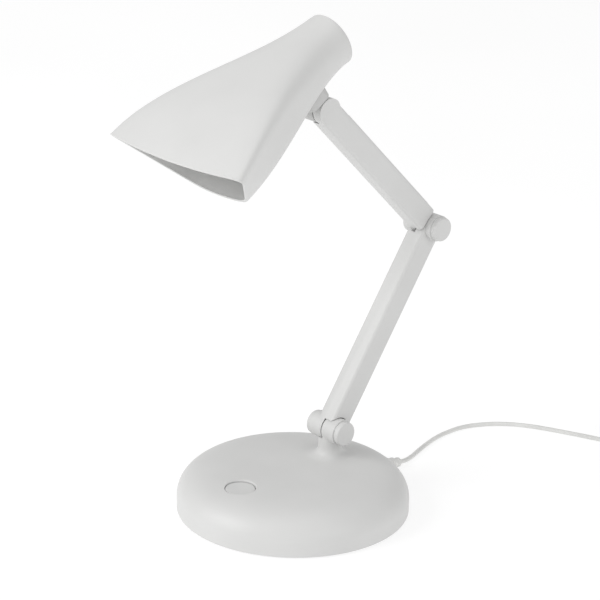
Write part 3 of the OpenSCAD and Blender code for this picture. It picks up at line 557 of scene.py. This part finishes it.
def buildRearCap(s):
    r = s["rear"]
    profile = [(0, -1.2), (r - 0.9, -1.2), (r, -0.3), (r, -0.05), (r - s["wall"] - 0.25, -0.05),
               (r - s["wall"] - 0.25, 3.9), (r - s["wall"] - 1.6, 3.9), (r - s["wall"] - 1.6, -0.02), (0, -0.02)]
    soft = softened(profile, [0, 0.6, 0.3, 0.1, 0, 0.1, 0.1, 0, 0], 4)
    piece = asObject("hoodRearCap", lathe(soft, 160))
    place = hoodPlace @ Matrix.Rotation(-math.pi / 2, 4, "X")
    return finishPiece(piece, place, "head", "white_shell", ["hood_rear_cap"])


buildHood(hood)
buildRearCap(hood)
print("hood built")


def toLinear(code):
    parts = [int(code[i:i + 2], 16) / 255 for i in (1, 3, 5)]
    return tuple(v / 12.92 if v <= 0.04045 else ((v + 0.055) / 1.055) ** 2.4 for v in parts) + (1.0,)


def addNode(tree, kind, settings, links):
    node = tree.nodes.new(kind)
    for key, value in settings.items():
        if key in node.inputs:
            node.inputs[key].default_value = value
        else:
            setattr(node, key, value)
    for key, (source, output) in links.items():
        tree.links.new(source.outputs[output], node.inputs[key])
    return node


# Colour drifts between two near shades over driftMm, and the surface is dimpled at grainMm
def makeFinish(name, light, dark, driftMm, grainMm, depthMm, rough, stretch=(1, 1, 1), **sockets):
    material = bpy.data.materials.new(name)
    material.use_nodes = True
    tree = material.node_tree
    tree.nodes.clear()
    place = addNode(tree, "ShaderNodeTexCoord", {}, {})
    scaled = addNode(tree, "ShaderNodeMapping", {"Scale": stretch}, {"Vector": (place, "Object")})
    drift = addNode(tree, "ShaderNodeTexNoise", {"Scale": 1000 / driftMm, "Detail": 2.0},
                    {"Vector": (scaled, "Vector")})
    grain = addNode(tree, "ShaderNodeTexNoise", {"Scale": 1000 / grainMm, "Detail": 3.0, "Roughness": 0.55},
                    {"Vector": (scaled, "Vector")})
    shade = addNode(tree, "ShaderNodeValToRGB", {}, {"Fac": (drift, "Fac")})
    shade.color_ramp.elements[0].position, shade.color_ramp.elements[1].position = 0.3, 0.7
    shade.color_ramp.elements[0].color, shade.color_ramp.elements[1].color = toLinear(dark), toLinear(light)
    gloss = addNode(tree, "ShaderNodeMapRange",
                    {"From Min": 0.3, "From Max": 0.7, "To Min": rough[0], "To Max": rough[1]},
                    {"Value": (grain, "Fac")})
    dimples = addNode(tree, "ShaderNodeBump", {"Strength": 0.6, "Distance": depthMm * mm}, {"Height": (grain, "Fac")})
    surface = addNode(tree, "ShaderNodeBsdfPrincipled", sockets,
                      {"Base Color": (shade, "Color"), "Roughness": (gloss, "Result"), "Normal": (dimples, "Normal")})
    addNode(tree, "ShaderNodeOutputMaterial", {}, {"Surface": (surface, "BSDF")})
    return material


finishes = {
    # ABS from a spark-eroded mould: satin, with a fine even grain that softens every highlight
    "white_shell": makeFinish("mouldedWhiteAbs", "#D4D4D3", "#D0D0CF", 40, 0.7, 0.012, (0.42, 0.52), IOR=1.54),
    # the button is the same ABS from a smoother mould, so its dished face reads a little brighter
    "button_plastic": makeFinish("polishedWhiteAbs", "#D3D3D2", "#CFCFCE", 12, 0.5, 0.006, (0.32, 0.4), IOR=1.54),
    # glass-filled nylon: greyer, with a faint flow mottle from the gate
    "bracket_plastic": makeFinish("mouldedGreyNylon", "#C4C4C3", "#BBBBBA", 9, 0.6, 0.02, (0.45, 0.58), IOR=1.53),
    # extruded soft PVC sheath: long drawn streaks and a low waxy sheen
    "lead_pvc": makeFinish("extrudedWhitePvc", "#DADAD8", "#D2D2D0", 14, 0.8, 0.01, (0.36, 0.46), IOR=1.53),
    # foam rubber, die-cut: near black, open pores, no shine
    "pad_rubber": makeFinish("dieCutFoamRubber", "#2B2B2C", "#202021", 6, 0.9, 0.12, (0.8, 0.95), IOR=1.5),
    # hot-rolled plate: dark, cloudy scale
    "ballast_steel": makeFinish("rolledSteelPlate", "#7C7D80", "#5F6063", 7, 0.8, 0.03, (0.42, 0.62), (1, 6, 1),
                                Metallic=1.0),
    # bright zinc over turned steel: faint rings and a blue-white tone
    "screw_steel": makeFinish("zincPlatedSteel", "#C4C6CA", "#A9ACB1", 1.5, 0.25, 0.01, (0.24, 0.36), Metallic=1.0),
    # free-cutting brass, turned
    "insert_brass": makeFinish("turnedBrass", "#D0AE6A", "#B9924F", 1.2, 0.25, 0.01, (0.22, 0.34), Metallic=1.0),
    # pressed vulcanised fibre: matt, slightly hairy
    "washer_plastic": makeFinish("pressedBlackFibre", "#232323", "#191919", 2, 0.4, 0.03, (0.7, 0.85), IOR=1.5),
    # solder mask over glass cloth: the weave shows as a faint grid of dimples
    "circuit_board": makeFinish("greenSolderMask", "#1E6B3C", "#17572F", 5, 0.5, 0.012, (0.25, 0.38), IOR=1.52),
    "switch_black": makeFinish("mouldedBlackPbt", "#1D1D1E", "#151516", 3, 0.4, 0.01, (0.4, 0.55), IOR=1.57),
    # aluminium core board under white reflective ink
    "led_aluminium": makeFinish("whiteInkedBoard", "#F1F1EE", "#E9E9E5", 8, 0.5, 0.008, (0.5, 0.62), IOR=1.5),
    # phosphor in clear silicone: egg-yolk yellow under a wet gloss
    "led_phosphor": makeFinish("phosphorSilicone", "#EFD25A", "#E0BD3F", 1, 0.3, 0.01, (0.1, 0.18), IOR=1.41),
    # sand-blasted acrylic sheet: milky, with the blast's fine tooth
    "diffuser_acrylic": makeFinish("blastedAcrylic", "#F4F4F0", "#ECECE7", 20, 0.35, 0.02, (0.5, 0.65), IOR=1.49),
    "wire_insulation": makeFinish("extrudedGreyPvc", "#6B6C70", "#5C5D61", 4, 0.5, 0.008, (0.4, 0.5), IOR=1.53),
    "tie_plastic": makeFinish("mouldedBlackNylon", "#38383A", "#2B2B2D", 3, 0.4, 0.02, (0.45, 0.6), IOR=1.53),
    # nickel over pressed steel: cool, with drawing lines along the shell
    "plug_steel": makeFinish("nickelPlatedSteel", "#CFCFCC", "#B4B4B1", 2.5, 0.3, 0.008, (0.2, 0.32), (4, 1, 1),
                             Metallic=1.0),
    "contact_black": makeFinish("mouldedBlackLcp", "#161617", "#101011", 2, 0.3, 0.008, (0.45, 0.6), IOR=1.6),
}

for entry in frame["record"]["subparts"]:
    node = frame["nodes"][entry["node"]]
    node.data.materials.clear()
    node.data.materials.append(finishes[entry["material_slot"]])
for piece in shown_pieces():
    slotName = piece.get("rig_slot")
    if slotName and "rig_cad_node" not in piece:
        piece.data.materials.clear()
        piece.data.materials.append(finishes[slotName])
powerLead.data.materials.append(finishes["lead_pvc"])
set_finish(powerLead, "lead_pvc")
print("materials set")


studio = dict(floorSize=6.0, key=(-0.75, -1.85, 1.25, 1.4, 23.5), fill=(2.0, 0.2, 0.9, 1.4, 7),
              top=(0.1, -0.3, 2.2, 1.8, 7),
              world="#FFFFFF", worldPower=0.58, tableGlow=0.68)


# A table lit from within stays evenly pale and throws less light up than a white one
def buildFloor(s):
    mesh = bmesh.new()
    bmesh.ops.create_grid(mesh, x_segments=2, y_segments=2, size=s["floorSize"])
    floor = asObject("floor", mesh)
    floor.data.materials.append(makeFinish(
        "litPaleTable", "#A6A6A6", "#A2A2A2", 400, 30, 0.01, (0.8, 0.9), IOR=1.3,
        **{"Emission Color": (1, 1, 1, 1), "Emission Strength": s["tableGlow"]}))


def hangLight(name, x, y, z, size, power):
    data = bpy.data.lights.new(name, "AREA")
    data.shape = "DISK"
    data.size = size
    data.energy = power
    lamp = bpy.data.objects.new(name, data)
    lamp.location = (x, y, z)
    lamp.rotation_euler = (Vector((0, 0, 0.12)) - lamp.location).to_track_quat("-Z", "Y").to_euler()
    bpy.context.scene.collection.objects.link(lamp)


buildFloor(studio)
for lightName in ("key", "fill", "top"):
    hangLight(lightName, *studio[lightName])
sky = bpy.data.worlds.new("studio")
sky.use_nodes = True
sky.node_tree.nodes["Background"].inputs["Color"].default_value = toLinear(studio["world"])
sky.node_tree.nodes["Background"].inputs["Strength"].default_value = studio["worldPower"]
bpy.context.scene.world = sky
bpy.context.scene.view_settings.view_transform = "Standard"  # white stays white
print("floor and lights placed")
